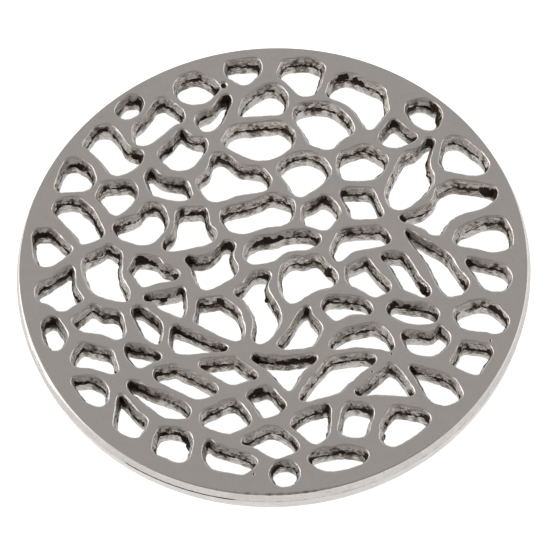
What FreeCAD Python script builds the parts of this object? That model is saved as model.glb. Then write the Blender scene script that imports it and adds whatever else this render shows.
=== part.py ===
"""Openwork cast disc: a flat round pendant whose face is pierced by a web of odd cells.

The disc was cast in a two-part mould. The front half and the back half are the two
bodies that each mould half shaped, and they meet on the parting plane, about a third of
the way down from the front face. Origin: centre of the back face. +Z leaves the front
face, and the hanging eye is on the -Y side.
"""
import math
import os

import FreeCAD
import Part

V = FreeCAD.Vector

# Driving dimensions, in mm.
FACE_R = 22.0            # radius of both flat faces
PARTING_R = 22.25        # radius at the parting plane, where the rim stands out most
THICKNESS = 2.4          # face to face
PARTING_Z = 1.55         # the front half is 0.85 deep and the back half is the rest
PARTING_LEAN = 0.26      # a cell is this much narrower all round at the parting plane
BACK_LEAN = 0.17         # and this much narrower at the back face
MISMATCH = V(-0.06, 0, 0)      # how far the back mould half sat from its true place
MISMATCH_TURN = 0.17           # and how far it had turned about the axis, in degrees
EYE_CENTRE = V(-0.15, -19.97, 0)
EYE_R = 1.3              # hanging eye, drilled straight through both halves

# Corner rounding: an arc reaches this far along each of the two sides it joins.
LONGEST_REACH = 0.6
REACH_SHARE = 0.45       # at most this share of the shorter side
LEAN_SHARE = 0.7         # a corner leans in by at most this share of its arc's radius

# Corner points of every cell on the flat face, counted clockwise or not as they come.
# The letter is the row, from the top of the disc (+Y) down to the eye.
CELLS = {
    "a0": [(-16.05, 13.4), (-14.7, 15.3), (-13.4, 15.4), (-12.4, 14.0), (-11.9, 12.8), (-10.6, 12.5),
           (-10.6, 11.5), (-11.6, 10.5), (-13.0, 10.0), (-13.9, 10.5), (-14.3, 11.4), (-15.5, 12.9)],
    "a1": [(-13.0, 16.9), (-12.3, 17.75), (-11.8, 18.15), (-10.6, 18.1), (-10.3, 17.3), (-10.6, 16.3),
           (-11.6, 15.7), (-12.3, 15.7), (-12.95, 16.3)],
    "a2": [(-7.75, 18.9), (-7.2, 19.6), (-6.1, 20.15), (-5.2, 20.0), (-3.9, 18.95), (-3.6, 18.4),
           (-3.7, 17.95), (-4.9, 16.75), (-6.6, 16.75), (-7.6, 17.6)],
    "a3": [(-3.2, 19.5), (-3.1, 21.05), (0.1, 21.1), (0.15, 19.55), (-1.15, 18.35), (-1.8, 18.4)],
    "a4": [(1.3, 19.2), (2.0, 20.75), (4.2, 20.8), (5.85, 19.9), (5.5, 18.7), (4.75, 16.85),
           (3.3, 16.8), (2.4, 18.1)],
    "a5": [(5.5, 16.9), (6.2, 18.6), (7.6, 19.1), (9.0, 18.3), (10.9, 17.2), (10.9, 16.0),
           (11.1, 14.9), (9.6, 13.1), (8.8, 13.0), (8.4, 14.2), (7.5, 15.7), (6.0, 16.45)],
    "a6": [(12.3, 14.8), (12.6, 15.6), (14.0, 16.0), (15.3, 15.2), (15.75, 14.2), (15.3, 12.85),
           (14.3, 12.5), (13.0, 13.3)],
    "b1": [(-11.6, 15.0), (-10.4, 15.9), (-9.3, 17.5), (-8.5, 17.75), (-6.75, 16.1), (-7.0, 15.0),
           (-7.7, 14.9), (-9.7, 13.2), (-10.5, 12.85), (-11.5, 13.1)],
    "b2": [(-6.05, 15.4), (-5.5, 15.95), (-4.6, 16.1), (-3.6, 17.5), (-2.75, 17.6), (-2.65, 16.8),
           (-3.6, 14.6), (-4.7, 13.85), (-5.5, 14.0), (-6.0, 14.8)],
    "b3": [(-2.2, 15.6), (-1.75, 17.0), (0.4, 18.45), (1.4, 18.35), (2.35, 17.3), (2.2, 15.7),
           (1.5, 15.15), (-2.1, 15.2)],
    "b4": [(2.45, 14.7), (2.8, 16.0), (4.5, 16.35), (6.2, 16.0), (7.6, 14.4), (8.0, 12.9),
           (6.6, 12.2), (6.1, 11.4), (5.2, 11.3), (3.7, 12.0), (3.35, 13.2)],
    "b5": [(9.75, 12.2), (10.5, 13.3), (11.4, 14.3), (12.1, 13.3), (13.5, 12.1), (12.9, 11.5),
           (11.3, 10.95), (10.2, 11.4)],
    "c1": [(-9.5, 12.1), (-8.9, 12.85), (-8.2, 13.3), (-7.2, 14.75), (-6.5, 13.6), (-4.95, 13.3),
           (-5.05, 12.0), (-6.6, 10.25), (-8.0, 10.15), (-9.3, 11.3)],
    "c2": [(-3.9, 12.9), (-2.9, 14.45), (1.6, 14.6), (2.85, 13.2), (2.5, 11.9), (0.8, 10.75),
           (-0.8, 10.6), (-2.3, 11.4), (-3.6, 12.4)],
    "c3": [(0.75, 9.6), (1.0, 10.2), (2.1, 11.2), (3.6, 11.4), (5.1, 10.6), (5.75, 9.1),
           (4.7, 7.8), (2.9, 6.7), (2.1, 7.0), (1.5, 8.5)],
    "c4": [(6.05, 9.8), (6.25, 10.9), (8.6, 11.75), (9.3, 11.3), (10.75, 10.2), (10.4, 9.0),
           (9.2, 7.95), (6.7, 8.1), (6.2, 8.7)],
    "c5": [(10.1, 7.0), (11.2, 9.2), (11.9, 10.5), (13.2, 10.9), (14.1, 12.0), (14.95, 11.7),
           (14.1, 9.3), (14.6, 7.9), (14.2, 6.8), (12.9, 5.6), (11.5, 4.7), (10.4, 5.1), (10.1, 6.2)],
    "d0": [(-18.6, 9.3), (-18.0, 11.1), (-17.4, 12.2), (-16.4, 12.2), (-15.1, 11.1), (-14.8, 9.7),
           (-15.6, 8.75), (-18.2, 8.75)],
    "d1": [(-15.15, 8.05), (-14.4, 9.6), (-11.6, 9.6), (-11.15, 8.1), (-12.2, 6.7), (-13.3, 6.0),
           (-13.9, 6.4), (-14.6, 7.5)],
    "d2": [(-10.85, 9.95), (-10.0, 10.95), (-9.3, 9.8), (-8.0, 9.4), (-7.0, 9.3), (-6.45, 7.5),
           (-7.3, 7.1), (-8.6, 7.3), (-10.25, 7.95), (-10.5, 9.0)],
    "d3": [(-6.3, 9.2), (-5.0, 10.3), (-4.85, 11.4), (-4.2, 11.95), (-3.2, 11.5), (-2.4, 10.35),
           (-0.3, 10.05), (0.5, 8.7), (0.0, 7.6), (-2.8, 7.35), (-4.4, 6.7), (-5.4, 7.1), (-6.2, 8.5)],
    "d4": [(14.9, 9.3), (15.5, 11.6), (16.4, 12.0), (17.3, 11.6), (18.9, 10.0), (19.5, 8.8),
           (19.0, 7.9), (18.0, 7.75), (15.3, 8.5)],
    "e0": [(-19.0, 7.1), (-18.4, 8.2), (-16.6, 8.3), (-15.3, 7.0), (-14.2, 4.3), (-15.4, 3.6),
           (-16.6, 3.4), (-17.1, 4.6), (-18.0, 5.7)],
    "e1": [(-13.75, 5.1), (-13.3, 5.65), (-11.5, 6.1), (-10.7, 7.3), (-9.6, 7.2), (-8.9, 6.3),
           (-8.75, 4.7), (-10.1, 3.15), (-11.4, 2.95), (-13.4, 3.9)],
    "e2": [(-4.4, 5.2), (-4.1, 6.15), (-1.0, 6.8), (0.3, 7.5), (1.3, 7.0), (2.35, 6.5),
           (2.1, 4.7), (1.2, 4.05), (-0.6, 3.95), (-2.4, 3.4), (-3.8, 3.9)],
    "e3": [(2.65, 4.4), (2.85, 6.1), (3.9, 6.3), (4.7, 7.0), (5.6, 6.4), (6.35, 4.9),
           (5.1, 3.4), (4.4, 3.3), (2.9, 4.0)],
    "e4": [(6.05, 6.7), (6.4, 7.45), (9.1, 7.25), (10.0, 4.4), (9.1, 4.1), (6.9, 4.25), (6.6, 5.8)],
    "e5": [(11.0, 4.2), (11.8, 4.6), (13.4, 4.95), (14.3, 5.8), (14.5, 6.8), (15.9, 7.55),
           (18.9, 6.9), (20.0, 6.4), (19.8, 5.4), (18.7, 4.5), (16.3, 4.0), (15.3, 3.2),
           (14.8, 2.1), (13.9, 2.1), (13.0, 3.05), (11.4, 3.7)],
    "f0": [(-20.75, 4.6), (-20.4, 5.3), (-18.9, 5.35), (-18.0, 4.1), (-17.0, 3.1), (-18.0, 2.2),
           (-19.3, 1.35), (-20.4, 1.7), (-20.6, 2.6)],
    "f2": [(-8.1, 6.5), (-5.4, 6.45), (-5.2, 4.5), (-4.55, 4.0), (-4.9, 3.0), (-5.4, 2.7),
           (-8.5, 2.15), (-9.55, 2.4), (-9.4, 3.5), (-8.4, 4.1)],
    "f3": [(-2.6, 1.1), (-2.3, 2.5), (-1.0, 3.25), (0.4, 3.1), (1.2, 3.55), (3.4, 3.5),
           (4.35, 2.9), (4.2, 2.0), (3.2, 1.5), (1.2, 1.5), (0.1, 0.5), (-1.9, 0.4)],
    "f4": [(4.9, 1.3), (5.9, 3.3), (7.0, 3.5), (9.8, 3.4), (10.5, 1.8), (9.7, 1.4),
           (7.0, 1.1), (5.9, 0.1), (5.3, 0.2)],
    "f5": [(15.6, 1.5), (16.1, 2.7), (18.8, 3.7), (20.3, 3.5), (20.9, 2.0), (20.8, 0.4),
           (19.0, 0.0), (17.6, 0.6), (16.2, 0.85)],
    "g0": [(-16.55, 1.0), (-16.5, 1.8), (-16.1, 2.5), (-15.2, 2.7), (-14.6, 3.1), (-14.1, 3.45),
           (-13.5, 2.9), (-12.9, 2.5), (-12.95, 1.5), (-13.15, 0.3), (-12.85, -0.6), (-12.4, -1.5),
           (-12.5, -2.3), (-12.9, -2.5), (-13.9, -2.25), (-14.8, -1.9), (-15.6, -1.45), (-16.05, -0.9)],
    "g1": [(-7.7, 1.4), (-7.2, 1.85), (-6.7, 1.5), (-5.6, 1.5), (-4.7, 2.3), (-4.2, 3.1),
           (-3.3, 2.85), (-3.0, 2.4), (-3.4, 1.8), (-3.4, 1.1), (-2.95, 0.3), (-3.05, -0.3),
           (-3.5, -0.75), (-4.6, -1.4), (-5.4, -1.8), (-6.1, -1.8), (-6.65, -1.4), (-6.95, -0.4),
           (-7.05, 0.4), (-7.5, 0.95)],
    "g2": [(-12.65, 0.55), (-12.1, 1.5), (-11.8, 2.15), (-10.5, 1.95), (-9.7, 1.6), (-9.5, 1.0),
           (-8.5, 0.6), (-8.0, 0.1), (-8.25, -0.55), (-8.6, -0.7), (-9.9, -0.75), (-11.1, -1.15),
           (-11.5, -1.05), (-11.95, -0.5), (-12.15, 0.0)],
    "g3": [(0.35, -1.4), (0.5, -0.4), (0.8, 0.3), (1.3, 0.75), (2.1, 1.0), (2.7, 0.7),
           (3.7, 1.1), (4.3, 0.8), (4.8, -0.1), (5.35, -0.7), (5.6, -1.4), (5.4, -2.0),
           (4.9, -2.35), (3.8, -2.45), (2.8, -3.0), (1.9, -3.6), (1.3, -3.75), (0.8, -3.3), (0.5, -2.7)],
    "g4": [(6.1, -0.6), (6.5, -0.15), (7.4, 0.1), (7.9, 0.45), (8.3, 0.3), (8.7, -0.5),
           (9.2, -1.3), (10.0, -2.2), (10.1, -2.7), (9.85, -3.2), (9.3, -3.3), (8.75, -3.6),
           (8.3, -3.5), (7.5, -2.8), (6.5, -2.25), (6.2, -1.7)],
    "g5": [(9.2, 0.6), (9.8, 0.85), (10.8, 0.75), (11.4, 0.6), (11.75, 0.0), (12.3, -1.1),
           (12.65, -2.0), (13.3, -2.75), (13.5, -3.4), (13.3, -3.9), (12.6, -3.95), (11.8, -3.35),
           (11.0, -2.95), (10.6, -2.2), (10.2, -1.0), (9.85, -0.3), (9.4, 0.0)],
    "g6": [(11.55, 2.9), (12.0, 2.85), (13.0, 2.0), (14.1, 1.3), (15.0, 0.5), (15.5, -0.2),
           (15.9, -1.3), (16.6, -2.2), (16.85, -2.8), (16.6, -3.5), (16.1, -3.9), (14.85, -4.05),
           (14.4, -3.5), (13.95, -2.9), (13.7, -1.8), (13.2, -0.6), (12.6, 0.5), (12.1, 1.4),
           (11.6, 2.2)],
    "g7": [(16.5, -0.6), (16.9, -0.15), (17.4, -0.35), (19.4, -1.0), (20.2, -1.5), (20.55, -2.3),
           (20.4, -3.0), (19.9, -3.7), (19.3, -3.85), (18.4, -3.7), (17.75, -3.2), (17.3, -2.2),
           (16.7, -1.1)],
    "h0": [(-17.2, 1.4), (-17.7, 1.45), (-18.9, 0.7), (-19.6, 0.1), (-20.35, -0.05), (-20.65, -0.6),
           (-20.6, -1.5), (-20.2, -2.0), (-19.4, -2.2), (-18.9, -2.9), (-18.1, -3.0), (-17.3, -2.45),
           (-16.6, -2.1), (-16.45, -1.8), (-16.8, -1.3), (-17.15, -0.6), (-17.1, 0.5)],
    "h1": [(-11.4, -2.1), (-11.15, -1.75), (-10.6, -1.7), (-9.2, -1.6), (-8.4, -1.5), (-8.0, -1.2),
           (-7.7, -1.5), (-7.55, -2.6), (-7.7, -3.7), (-7.9, -4.3), (-8.3, -4.4), (-9.0, -3.95),
           (-10.0, -3.4), (-10.3, -3.0), (-10.5, -2.65), (-11.2, -2.55)],
    "h2": [(-3.6, -2.35), (-3.4, -1.85), (-2.8, -1.5), (-2.1, -0.5), (-1.5, -0.15), (-0.6, -0.2),
           (-0.15, -0.6), (-0.3, -1.1), (-0.6, -1.9), (-0.45, -2.5), (0.1, -3.5), (0.45, -4.5),
           (0.45, -5.3), (0.1, -6.1), (-0.6, -7.0), (-1.2, -7.45), (-1.9, -7.35), (-2.25, -6.8),
           (-2.15, -6.1), (-1.95, -5.3), (-2.1, -4.4), (-2.5, -3.5), (-3.0, -2.8), (-3.4, -2.6)],
    "i0": [(-20.3, -4.1), (-20.0, -3.65), (-19.3, -3.35), (-18.75, -3.5), (-18.5, -4.1),
           (-18.0, -4.95), (-17.95, -5.6), (-18.3, -6.3), (-18.65, -6.7), (-19.1, -6.85),
           (-19.55, -6.7), (-19.9, -6.2), (-20.15, -5.5)],
    "i1": [(-17.65, -4.05), (-17.5, -3.7), (-16.5, -2.9), (-15.9, -2.4), (-15.4, -2.5),
           (-15.0, -3.0), (-13.7, -3.15), (-13.3, -3.5), (-13.0, -4.5), (-13.0, -5.6), (-13.3, -6.0),
           (-13.9, -6.15), (-14.5, -5.8), (-15.2, -5.4), (-16.6, -5.15), (-17.1, -4.85)],
    "i2": [(-12.5, -3.4), (-12.4, -3.05), (-11.9, -2.8), (-11.4, -3.0), (-10.9, -3.45),
           (-10.3, -4.1), (-9.85, -4.6), (-9.75, -5.2), (-9.9, -6.2), (-10.05, -6.75), (-10.3, -6.9),
           (-10.8, -6.6), (-11.5, -6.1), (-11.8, -5.4), (-12.1, -4.6), (-12.35, -4.0)],
    "i3": [(-9.2, -5.5), (-9.1, -5.15), (-8.7, -4.95), (-8.1, -5.2), (-7.0, -5.85), (-5.9, -6.55),
           (-4.7, -7.0), (-4.25, -7.5), (-4.4, -7.85), (-5.0, -7.95), (-6.5, -7.9), (-7.6, -8.0),
           (-8.6, -7.85), (-9.1, -7.5), (-9.35, -6.7)],
    "i4": [(-6.8, -3.0), (-6.6, -2.6), (-5.2, -2.55), (-4.6, -2.4), (-4.2, -2.9), (-3.4, -3.55),
           (-3.05, -4.1), (-2.95, -4.8), (-2.7, -5.9), (-2.85, -6.5), (-3.2, -6.95), (-3.9, -6.95),
           (-4.9, -6.4), (-6.0, -5.65), (-6.95, -5.0), (-7.15, -4.7), (-6.9, -3.9)],
    "i5": [(2.25, -4.15), (2.75, -3.9), (3.0, -4.2), (3.1, -4.8), (3.5, -5.4), (3.95, -6.0),
           (3.8, -6.7), (3.45, -7.4), (3.1, -7.9), (2.3, -8.1), (0.6, -8.15), (0.0, -7.8),
           (-0.15, -7.4), (0.3, -6.9), (1.0, -6.1), (1.7, -4.9)],
    "i6": [(3.85, -4.2), (3.95, -3.7), (4.4, -3.1), (5.2, -3.1), (6.5, -3.25), (7.8, -3.65),
           (8.3, -4.4), (8.35, -4.9), (8.05, -5.35), (7.5, -5.15), (6.3, -5.1), (5.6, -5.5),
           (5.2, -5.7), (4.8, -5.5), (4.1, -4.7)],
    "i7": [(9.4, -4.8), (9.7, -4.2), (10.4, -3.9), (11.0, -4.2), (12.9, -4.5), (13.9, -5.15),
           (14.05, -5.7), (13.75, -6.3), (13.3, -6.55), (12.4, -6.55), (11.2, -6.35), (10.2, -5.75),
           (9.55, -5.3)],
    "i8": [(15.15, -5.9), (15.3, -5.2), (16.2, -4.75), (17.2, -4.5), (18.1, -4.5), (18.9, -5.0),
           (19.5, -5.8), (20.05, -6.5), (19.85, -7.2), (19.3, -7.8), (18.6, -7.95), (17.8, -7.6),
           (16.8, -7.5), (15.8, -7.15), (15.3, -6.5)],
    "j0": [(-17.85, -7.6), (-17.6, -6.9), (-17.1, -6.3), (-16.7, -6.0), (-16.0, -6.4),
           (-14.9, -6.75), (-14.4, -6.9), (-14.1, -7.3), (-13.9, -8.2), (-13.75, -9.0), (-13.95, -9.4),
           (-14.5, -9.4), (-15.2, -9.1), (-16.2, -8.65), (-17.4, -8.5), (-17.75, -8.2)],
    "j1": [(-13.25, -6.9), (-13.1, -6.6), (-12.8, -6.4), (-12.4, -6.65), (-11.6, -6.75),
           (-10.8, -7.15), (-10.2, -7.6), (-9.95, -7.95), (-10.1, -8.3), (-10.6, -8.45),
           (-11.0, -8.55), (-11.5, -8.95), (-12.0, -9.0), (-12.5, -8.7), (-12.9, -8.1), (-13.15, -7.7)],
    "j2": [(-7.0, -9.1), (-6.75, -8.6), (-6.0, -8.5), (-4.2, -8.45), (-3.8, -8.35), (-3.4, -8.9),
           (-2.4, -9.7), (-1.8, -10.3), (-1.95, -10.8), (-2.9, -10.9), (-4.0, -11.25), (-4.6, -11.0),
           (-5.8, -10.1), (-6.7, -9.4)],
    "j3": [(-2.5, -8.6), (-2.15, -8.15), (-1.6, -8.45), (0.5, -8.8), (2.0, -8.75), (2.8, -8.5),
           (3.4, -9.0), (3.1, -9.5), (2.4, -9.95), (1.75, -10.7), (1.15, -11.9), (0.75, -12.2),
           (0.3, -11.95), (-0.5, -10.8), (-1.2, -9.8), (-2.2, -9.1)],
    "j4": [(4.3, -7.9), (4.5, -7.4), (5.2, -6.75), (6.4, -6.3), (8.2, -6.0), (8.9, -6.35),
           (9.55, -7.0), (9.9, -7.9), (9.95, -8.6), (9.6, -9.0), (8.8, -8.7), (7.4, -8.4),
           (6.4, -8.3), (5.8, -8.4), (4.75, -8.45), (4.45, -8.25)],
    "j5": [(10.5, -7.4), (10.75, -7.0), (11.5, -7.05), (13.1, -7.35), (13.5, -7.0), (13.9, -6.55),
           (14.3, -7.0), (14.85, -7.7), (14.8, -8.3), (14.2, -9.1), (13.5, -9.6), (12.7, -9.65),
           (11.6, -9.35), (11.0, -8.9), (10.7, -8.2)],
    "j6": [(14.5, -10.5), (14.7, -10.0), (15.2, -9.3), (15.5, -8.5), (16.0, -8.4), (17.4, -8.65),
           (18.1, -8.95), (18.4, -9.6), (18.2, -10.2), (17.7, -10.7), (17.3, -11.5), (16.9, -11.8),
           (16.4, -11.7), (15.3, -11.0)],
    "k0": [(-17.95, -9.75), (-17.7, -9.3), (-17.1, -9.35), (-16.2, -9.35), (-15.2, -9.85),
           (-14.85, -10.4), (-14.65, -11.0), (-14.8, -12.0), (-15.2, -12.45), (-15.8, -12.45),
           (-16.9, -11.85), (-17.35, -11.1), (-17.65, -10.4)],
    "k1": [(-13.2, -10.6), (-13.05, -10.15), (-12.6, -10.0), (-12.0, -10.4), (-11.2, -10.95),
           (-10.0, -11.45), (-8.8, -12.1), (-8.1, -12.7), (-7.75, -13.2), (-7.8, -13.8),
           (-8.2, -14.15), (-9.6, -14.1), (-10.3, -13.85), (-11.2, -13.0), (-12.3, -11.85),
           (-12.9, -11.3)],
    "k2": [(-10.9, -9.75), (-10.75, -9.15), (-10.2, -8.95), (-9.5, -8.95), (-8.95, -8.8),
           (-8.5, -9.15), (-7.4, -9.75), (-6.3, -10.55), (-5.5, -11.05), (-5.25, -11.5),
           (-5.5, -11.95), (-6.1, -12.15), (-6.9, -12.4), (-7.5, -12.3), (-8.6, -11.6), (-9.9, -10.75),
           (-10.6, -10.35)],
    "k3": [(4.3, -9.2), (4.7, -9.05), (6.0, -8.95), (6.9, -8.85), (7.8, -8.95), (8.35, -9.35),
           (8.4, -9.75), (7.9, -10.2), (7.1, -10.7), (6.3, -11.5), (5.6, -11.95), (5.2, -12.5),
           (4.5, -12.8), (3.2, -13.0), (2.2, -13.3), (1.5, -13.1), (1.5, -12.6), (2.0, -11.8),
           (3.0, -10.6), (3.8, -9.7)],
    "k4": [(9.0, -10.35), (9.35, -9.95), (9.8, -10.2), (10.3, -10.8), (10.9, -11.9), (11.4, -12.95),
           (11.3, -13.4), (10.6, -13.4), (9.0, -13.1), (7.9, -13.0), (6.5, -13.1), (6.1, -12.6),
           (6.9, -12.0), (8.0, -11.15)],
    "k5": [(11.0, -10.7), (11.15, -10.35), (11.7, -10.45), (12.7, -10.8), (14.0, -11.35),
           (14.8, -11.85), (15.2, -12.5), (15.5, -13.5), (15.3, -13.95), (14.6, -14.35),
           (14.0, -14.55), (13.1, -14.3), (12.5, -13.9), (12.0, -12.9), (11.6, -11.8)],
    "k6": [(-3.1, -12.5), (-2.95, -11.95), (-2.5, -11.7), (-1.9, -11.65), (-1.3, -11.4),
           (-0.7, -11.7), (-0.3, -12.4), (0.3, -13.2), (0.4, -13.6), (0.1, -14.0), (-0.5, -14.35),
           (-1.6, -14.65), (-1.95, -14.4), (-2.4, -13.4), (-2.7, -12.8)],
    "l0": [(-14.1, -11.9), (-13.8, -11.3), (-13.5, -11.45), (-12.9, -12.2), (-12.4, -13.1),
           (-11.6, -13.8), (-11.45, -14.3), (-11.9, -15.2), (-12.4, -15.7), (-12.9, -15.65),
           (-13.8, -15.2), (-14.35, -14.7), (-14.5, -14.1), (-14.2, -12.9)],
    "l1": [(-7.15, -14.3), (-7.0, -13.7), (-6.7, -13.45), (-5.8, -13.15), (-4.9, -12.6),
           (-3.95, -12.5), (-3.4, -13.1), (-2.8, -14.1), (-2.6, -14.7), (-2.8, -15.1), (-3.6, -15.5),
           (-4.6, -15.9), (-5.2, -15.75), (-6.4, -15.2), (-7.05, -14.85)],
    "l2": [(-11.15, -15.7), (-10.55, -14.85), (-10.1, -14.75), (-9.2, -14.8), (-8.4, -15.2),
           (-7.95, -15.5), (-7.7, -16.2), (-7.95, -17.4), (-8.3, -18.1), (-8.8, -18.35),
           (-9.4, -18.25), (-10.2, -17.75), (-11.1, -17.3), (-11.3, -16.8), (-11.15, -16.3)],
    "l3": [(0.55, -15.5), (0.75, -14.9), (1.3, -14.35), (2.2, -13.85), (3.2, -13.75), (3.8, -13.45),
           (4.2, -13.95), (4.05, -15.4), (3.85, -16.7), (3.3, -17.15), (2.5, -17.45), (1.9, -16.95),
           (1.4, -16.3), (0.75, -15.75)],
    "l4": [(4.55, -16.2), (5.1, -14.2), (5.5, -13.6), (6.2, -13.55), (7.4, -13.95), (7.85, -14.3),
           (7.75, -15.0), (7.2, -16.6), (6.8, -17.0), (6.0, -17.05), (5.2, -16.75), (4.7, -16.5)],
    "l5": [(8.2, -16.1), (8.4, -15.5), (9.1, -14.6), (9.5, -14.15), (10.3, -14.25), (12.0, -14.8),
           (12.45, -15.2), (12.65, -15.8), (12.2, -16.4), (11.4, -17.0), (10.5, -17.6), (9.6, -18.1),
           (8.9, -18.1), (8.35, -17.7), (8.05, -17.1), (8.3, -16.6)],
    "m0": [(-6.95, -16.8), (-6.7, -16.3), (-6.3, -16.2), (-5.9, -16.7), (-5.2, -17.0), (-4.0, -17.5),
           (-2.9, -18.0), (-2.3, -18.6), (-2.4, -19.0), (-3.0, -19.5), (-3.7, -19.9), (-4.3, -19.7),
           (-6.0, -19.25), (-6.5, -18.9), (-7.1, -18.1)],
    "m1": [(-3.75, -16.65), (-3.5, -16.3), (-2.6, -15.9), (-1.7, -15.45), (-1.0, -15.3),
           (-0.3, -15.55), (0.4, -16.1), (1.1, -16.95), (1.35, -17.5), (1.0, -18.0), (0.2, -18.3),
           (-0.75, -18.58), (-1.3, -18.35), (-2.4, -17.45), (-3.0, -17.1), (-3.55, -17.0)],
    "m2": [(1.8, -18.75), (2.2, -18.05), (3.0, -17.85), (4.8, -17.65), (5.8, -17.8), (7.0, -18.25),
           (7.15, -18.75), (6.7, -19.5), (5.6, -19.85), (4.2, -20.1), (3.2, -20.0), (2.5, -19.6),
           (2.0, -19.05)],
}


def unit(vector):
    """The same direction, one long."""
    return vector * (1.0 / vector.Length)


def seated(corners, shift, turn):
    """Corner points where a mould half put them: turned about the axis and then shifted."""
    turning = FreeCAD.Rotation(V(0, 0, 1), turn)
    return [turning.multVec(V(x, y, 0)) + shift for x, y in corners]


def rounded_corners(corners, lean):
    """Start, middle and end of the arc that rounds each corner, leant in by lean mm."""
    points = list(corners)
    count = len(points)
    turning = sum(points[i - 1].cross(points[i]).z for i in range(count))
    if turning < 0:
        points.reverse()
    arcs = []
    for i in range(count):
        before = points[i - 1]
        here = points[i]
        after = points[(i + 1) % count]
        along_in = here - before
        along_out = after - here
        reach = min(LONGEST_REACH, REACH_SHARE * min(along_in.Length, along_out.Length))
        along_in = unit(along_in)
        along_out = unit(along_out)
        inward_in = V(-along_in.y, along_in.x, 0)
        inward_out = V(-along_out.y, along_out.x, 0)
        inward_mid = unit(inward_in + inward_out)
        turn = math.atan2(along_in.cross(along_out).z, along_in.dot(along_out))
        radius = reach / math.tan(turn / 2)
        centre = here - along_in * reach + inward_in * radius
        middle = centre - inward_mid * radius
        corner_lean = min(lean, LEAN_SHARE * radius) if radius > 0 else lean
        arcs.append([
            here - along_in * reach + inward_in * corner_lean,
            middle + inward_mid * corner_lean,
            here + along_out * reach + inward_out * corner_lean,
        ])
    return arcs


def cell_edges(corners, lean, z):
    """The closed outline of one cell at height z: an arc and then a straight, corner by corner."""
    lift = V(0, 0, z)
    arcs = rounded_corners(corners, lean)
    edges = []
    for i, (start, middle, end) in enumerate(arcs):
        next_start = arcs[(i + 1) % len(arcs)][0]
        edges.append(Part.Arc(start + lift, middle + lift, end + lift).toShape())
        edges.append(Part.LineSegment(end + lift, next_start + lift).toShape())
    return edges


def circle_edges(radius, z):
    """A full circle about the disc's axis at height z."""
    return [Part.Circle(V(0, 0, z), V(0, 0, 1), radius).toShape()]


def half_disc(face_z, face_lean, shift, turn):
    """One mould half's body, from its flat face to the parting plane."""
    face_loops = [circle_edges(FACE_R, face_z)]
    parting_loops = [circle_edges(PARTING_R, PARTING_Z)]
    for corners in CELLS.values():
        points = seated(corners, shift, turn)
        face_loops.append(cell_edges(points, face_lean, face_z))
        parting_loops.append(cell_edges(points, PARTING_LEAN, PARTING_Z))
    faces = []
    for loops in (face_loops, parting_loops):
        wires = [Part.Wire(edges) for edges in loops]
        faces += Part.makeFace(wires, "Part::FaceMakerBullseye").Faces
    for face_edges, parting_edges in zip(face_loops, parting_loops):
        for low, high in zip(face_edges, parting_edges):
            faces.append(Part.makeRuledSurface(low, high))
    shell = Part.makeShell(faces)
    shell.sewShape()
    solid = Part.makeSolid(shell)
    if solid.Volume < 0:
        solid.reverse()
    eye = Part.makeCylinder(EYE_R, THICKNESS + 2, EYE_CENTRE - V(0, 0, 1))
    return solid.cut(eye)


NODES = {
    "front_half": half_disc(THICKNESS, 0.0, V(0, 0, 0), 0.0),
    "back_half": half_disc(0.0, BACK_LEAN, MISMATCH, MISMATCH_TURN),
}

os.makedirs("parts", exist_ok=True)
for name, shape in NODES.items():
    shape.exportStep("parts/" + name + ".step")
    box = shape.BoundBox
    print(name, shape.isValid(), len(shape.Solids), len(shape.Faces), round(shape.Volume, 2),
          round(box.ZMin, 3), round(box.ZMax, 3))
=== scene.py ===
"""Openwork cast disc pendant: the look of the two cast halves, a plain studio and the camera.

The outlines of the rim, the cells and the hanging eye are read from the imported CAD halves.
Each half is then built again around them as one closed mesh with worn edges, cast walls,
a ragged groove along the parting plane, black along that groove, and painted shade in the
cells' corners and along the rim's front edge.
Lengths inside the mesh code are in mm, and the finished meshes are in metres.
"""

import math

import bmesh
import bpy
import numpy as np
from mathutils import Matrix, Vector, kdtree, noise
from mathutils.geometry import delaunay_2d_cdt


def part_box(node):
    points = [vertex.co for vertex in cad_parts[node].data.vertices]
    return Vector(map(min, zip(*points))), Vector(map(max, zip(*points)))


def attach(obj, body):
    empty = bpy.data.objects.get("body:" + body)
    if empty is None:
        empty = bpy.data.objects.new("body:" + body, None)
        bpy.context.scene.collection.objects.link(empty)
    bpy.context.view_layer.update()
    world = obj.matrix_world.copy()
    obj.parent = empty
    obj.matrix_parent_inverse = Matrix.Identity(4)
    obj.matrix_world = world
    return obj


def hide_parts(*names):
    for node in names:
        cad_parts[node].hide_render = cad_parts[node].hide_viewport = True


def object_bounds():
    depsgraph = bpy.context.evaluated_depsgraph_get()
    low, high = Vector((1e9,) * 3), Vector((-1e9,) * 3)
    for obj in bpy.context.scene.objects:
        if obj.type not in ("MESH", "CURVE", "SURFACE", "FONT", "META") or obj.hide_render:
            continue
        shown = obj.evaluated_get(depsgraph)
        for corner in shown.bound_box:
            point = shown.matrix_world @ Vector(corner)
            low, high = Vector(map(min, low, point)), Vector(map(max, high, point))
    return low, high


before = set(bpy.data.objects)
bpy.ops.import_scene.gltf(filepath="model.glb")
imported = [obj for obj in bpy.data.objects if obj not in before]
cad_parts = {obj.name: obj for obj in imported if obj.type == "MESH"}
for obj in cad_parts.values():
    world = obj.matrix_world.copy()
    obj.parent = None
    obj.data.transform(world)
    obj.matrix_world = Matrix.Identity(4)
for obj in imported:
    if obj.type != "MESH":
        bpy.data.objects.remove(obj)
cad_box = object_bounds()

MM = 0.001
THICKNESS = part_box("front_half")[1].z / MM
OUTER_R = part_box("front_half")[1].x / MM
PARTING_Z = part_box("back_half")[1].z / MM
FRONT_DEPTH = THICKNESS - PARTING_Z
BACK_DEPTH = PARTING_Z

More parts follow.
